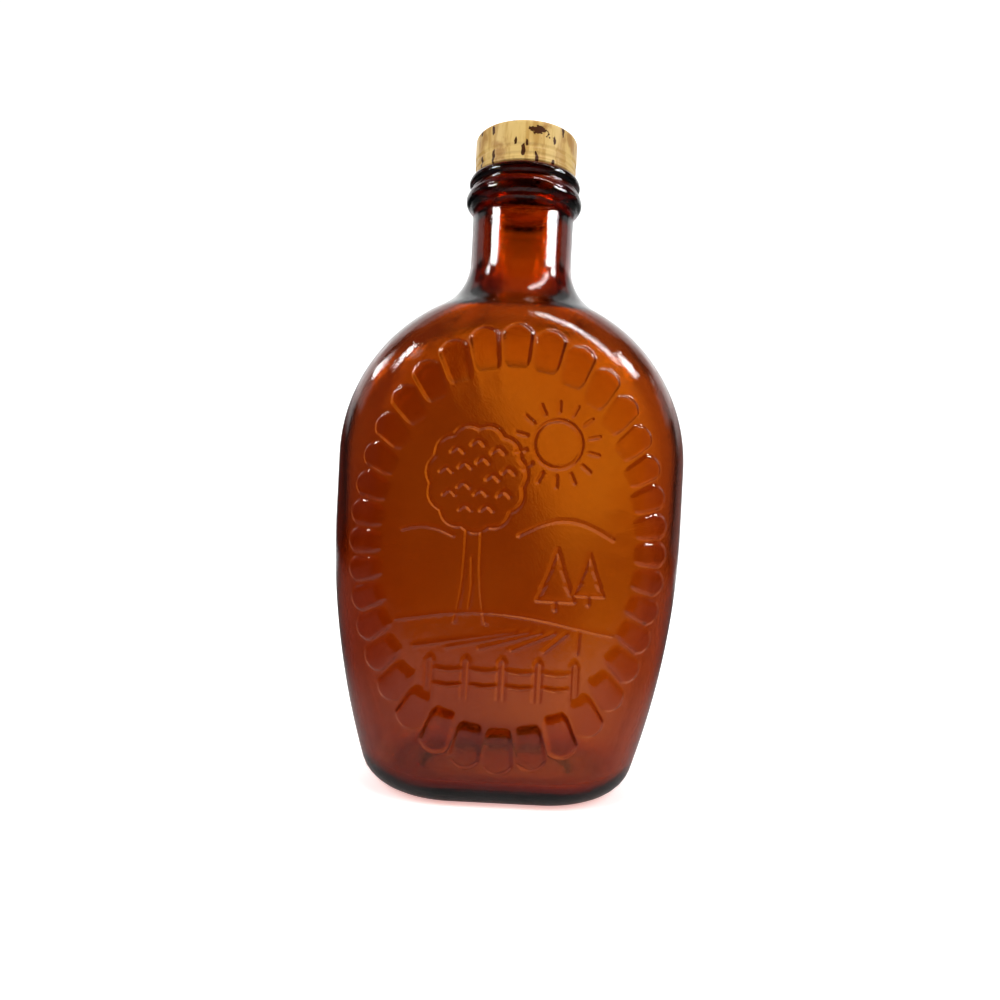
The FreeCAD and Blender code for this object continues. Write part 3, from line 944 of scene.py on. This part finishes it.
def makeCard():
    # a dark backdrop behind the camera, which only the gloss shows
    half, depth, top = darkBackdrop["half"], darkBackdrop["depth"], darkBackdrop["top"]
    points = np.array([[-half, depth, 0], [half, depth, 0], [half, depth, top], [-half, depth, top]]) / mm
    card = putMesh("stage-card", points, np.array([[0, 1, 2, 3]]), np.zeros((0, 3), dtype=int))
    material, tree = newMaterial("card-dark")
    output = tree.nodes.new("ShaderNodeOutputMaterial")
    cloth = tree.nodes.new("ShaderNodeBsdfDiffuse")
    cloth.inputs["Color"].default_value = (*[darkBackdrop["level"]] * 3, 1.0)
    tree.links.new(cloth.outputs["BSDF"], output.inputs["Surface"])
    card.data.materials.append(material)
    card.visible_camera = False
    card.visible_diffuse = False
    card.visible_shadow = False
    card.visible_transmission = False


lampPlan = {
    # azimuth from the camera's side towards +X, elevation, distance, width and watts; seen in no gloss
    "soft-left": (-50.0, 40.0, 1.3, 0.8, 10.0),
    "soft-right": (50.0, 40.0, 1.3, 0.8, 12.0),
    "soft-top": (180.0, 78.0, 1.3, 1.0, 10.0),
}

stripPlan = {
    # middles of a strip's two ends, the spot it faces, thickness, radiance and fan in degrees; gloss only
    "neck-left": ((-0.0953, -0.0401, 0.205), (-0.0826, -0.0659, 0.207),
                      (-0.0092, -0.0138, 0.173), 0.025, 45.0, 50.0),
    "neck-right": ((0.0994, -0.0256, 0.206), (0.0831, -0.0660, 0.208),
                      (0.0103, -0.0131, 0.173), 0.025, 45.0, 50.0),
    "shoulder-left": ((-0.090, 0.000, 0.156), (-0.090, -0.018, 0.192),
                      (-0.037, -0.024, 0.132), 0.013, 32.0, 60.0),
    "shoulder-right": ((0.090, -0.003, 0.160), (0.090, -0.014, 0.192),
                      (0.038, -0.024, 0.131), 0.012, 20.0, 50.0),
    "shoulder-top": ((0.100, -0.160, 0.932), (0.560, -0.300, 0.720),
                      (0.017, -0.028, 0.142), 0.055, 22.0, 180.0),
    "lobes-left": ((-0.441, -0.136, 0.533), (-0.454, -0.076, 0.533),
                      (-0.040, -0.028, 0.100), 0.100, 30.0, 180.0),
    "lobes-right": ((0.441, -0.148, 0.529), (0.454, -0.064, 0.529),
                      (0.040, -0.028, 0.100), 0.100, 30.0, 180.0),
    "wall-left": ((-0.940, 0.130, 0.500), (-0.480, 0.820, 0.500),
                      (0.0, 0.0, 0.172), 0.210, 0.50, 180.0),
    "wall-right": ((0.940, 0.130, 0.500), (0.480, 0.820, 0.500),
                      (0.0, 0.0, 0.172), 0.210, 0.50, 180.0),
    "sky-back": ((-0.600, 0.520, 0.760), (0.600, 0.520, 0.760),
                      (0.0, 0.0, 0.150), 0.700, 0.45, 180.0),
}


def placeLamp(name, spot, axes, wide, tall, watts, fan, glossOnly):
    # axes holds the lamp's own width, height and backward directions in columns; the fan is in degrees
    lamp = bpy.data.lights.new(name, "AREA")
    lamp.shape = "RECTANGLE"
    lamp.size = wide
    lamp.size_y = tall
    lamp.energy = watts
    lamp.spread = math.radians(fan)
    holder = bpy.data.objects.new(name, lamp)
    bpy.context.scene.collection.objects.link(holder)
    holder.location = spot
    holder.rotation_euler = Matrix(axes.tolist()).to_euler()
    holder.visible_camera = False
    holder.visible_diffuse = not glossOnly
    holder.visible_glossy = glossOnly


def axesAlong(along, back):
    # right-handed axes with the first one along a direction and the last one backwards
    first = along - back * (along @ back)
    first = first / np.linalg.norm(first)
    return np.stack([first, np.cross(back, first), back], axis=-1)


def makeLamps():
    # soft lamps aimed at the body's middle, and strips that only gloss shows
    aim = np.array([0.0, 0.0, 0.11])
    for name, (azimuth, elevation, distance, wide, watts) in lampPlan.items():
        turn, lift = math.radians(azimuth), math.radians(elevation)
        back = np.array([math.cos(lift) * math.sin(turn), -math.cos(lift) * math.cos(turn), math.sin(lift)])
        axes = axesAlong(np.array([math.cos(turn), math.sin(turn), 0.0]), back)
        placeLamp(name, aim + distance * back, axes, wide, wide, watts, 180.0, False)
    for name, (start, end, lit, thick, radiance, fan) in stripPlan.items():
        start, end = np.array(start), np.array(end)
        middle = (start + end) / 2
        along = (end - start) / np.linalg.norm(end - start)
        back = middle - np.array(lit)
        back = back - along * (back @ along)
        back = back / np.linalg.norm(back)
        long = np.linalg.norm(end - start)
        # a narrow fan gathers the light, so its power is lowered to keep the radiance along the middle
        half = math.radians(fan) / 2
        gather = math.tan(half) / (math.tan(half) - half)
        watts = radiance * math.pi * long * thick / gather
        placeLamp(name, middle, axesAlong(along, back), long, thick, watts, fan, True)


cameraPlan = {"distance": 0.250, "height": 0.091, "right": -0.003, "lens": 27.0, "roll": 2.9}


def makeCamera():
    # level, straight before the bottle, and rolled about its own line of sight
    lens = bpy.data.cameras.new("camera")
    lens.lens = cameraPlan["lens"]
    lens.sensor_width = 36.0
    lens.clip_start = 0.01
    camera = bpy.data.objects.new("camera", lens)
    bpy.context.scene.collection.objects.link(camera)
    camera.location = (cameraPlan["right"], -cameraPlan["distance"], cameraPlan["height"])
    level = Euler((math.radians(90), 0, 0)).to_matrix()
    roll = Euler((0, 0, math.radians(cameraPlan["roll"]))).to_matrix()
    camera.rotation_euler = (level @ roll).to_euler()
    bpy.context.scene.camera = camera


worldLevels = {"plain": 0.05, "camera": 1.0, "through": 0.35}


def makeWorld():
    # white to the camera, dimmer through the glass, and faint for light and gloss
    world = bpy.data.worlds.new("studio")
    world.use_nodes = True
    nodes, links = world.node_tree.nodes, world.node_tree.links
    background = nodes["Background"]
    background.inputs["Color"].default_value = (1.0, 1.0, 1.0, 1.0)
    path = nodes.new("ShaderNodeLightPath")
    level = worldLevels["plain"]
    for ray, name in (("Is Transmission Ray", "through"), ("Is Camera Ray", "camera")):
        pick = nodes.new("ShaderNodeMix")
        links.new(path.outputs[ray], pick.inputs["Factor"])
        pick.inputs[3].default_value = worldLevels[name]
        if isinstance(level, float):
            pick.inputs[2].default_value = level
        else:
            links.new(level, pick.inputs[2])
        level = pick.outputs[0]
    links.new(level, background.inputs["Strength"])
    bpy.context.scene.world = world


glass = makeGlass()
glass.data.materials.append(amberGlass())
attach(glass, "root")
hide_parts("bottle")

cap = makeCap()
cap.data.materials.append(corkPrint())
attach(cap, "root")
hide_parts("cap")

makeStage()
makeCard()
makeLamps()
makeCamera()
makeWorld()
bpy.context.scene.view_settings.view_transform = "Standard"
print("stage, lamps and camera: made")
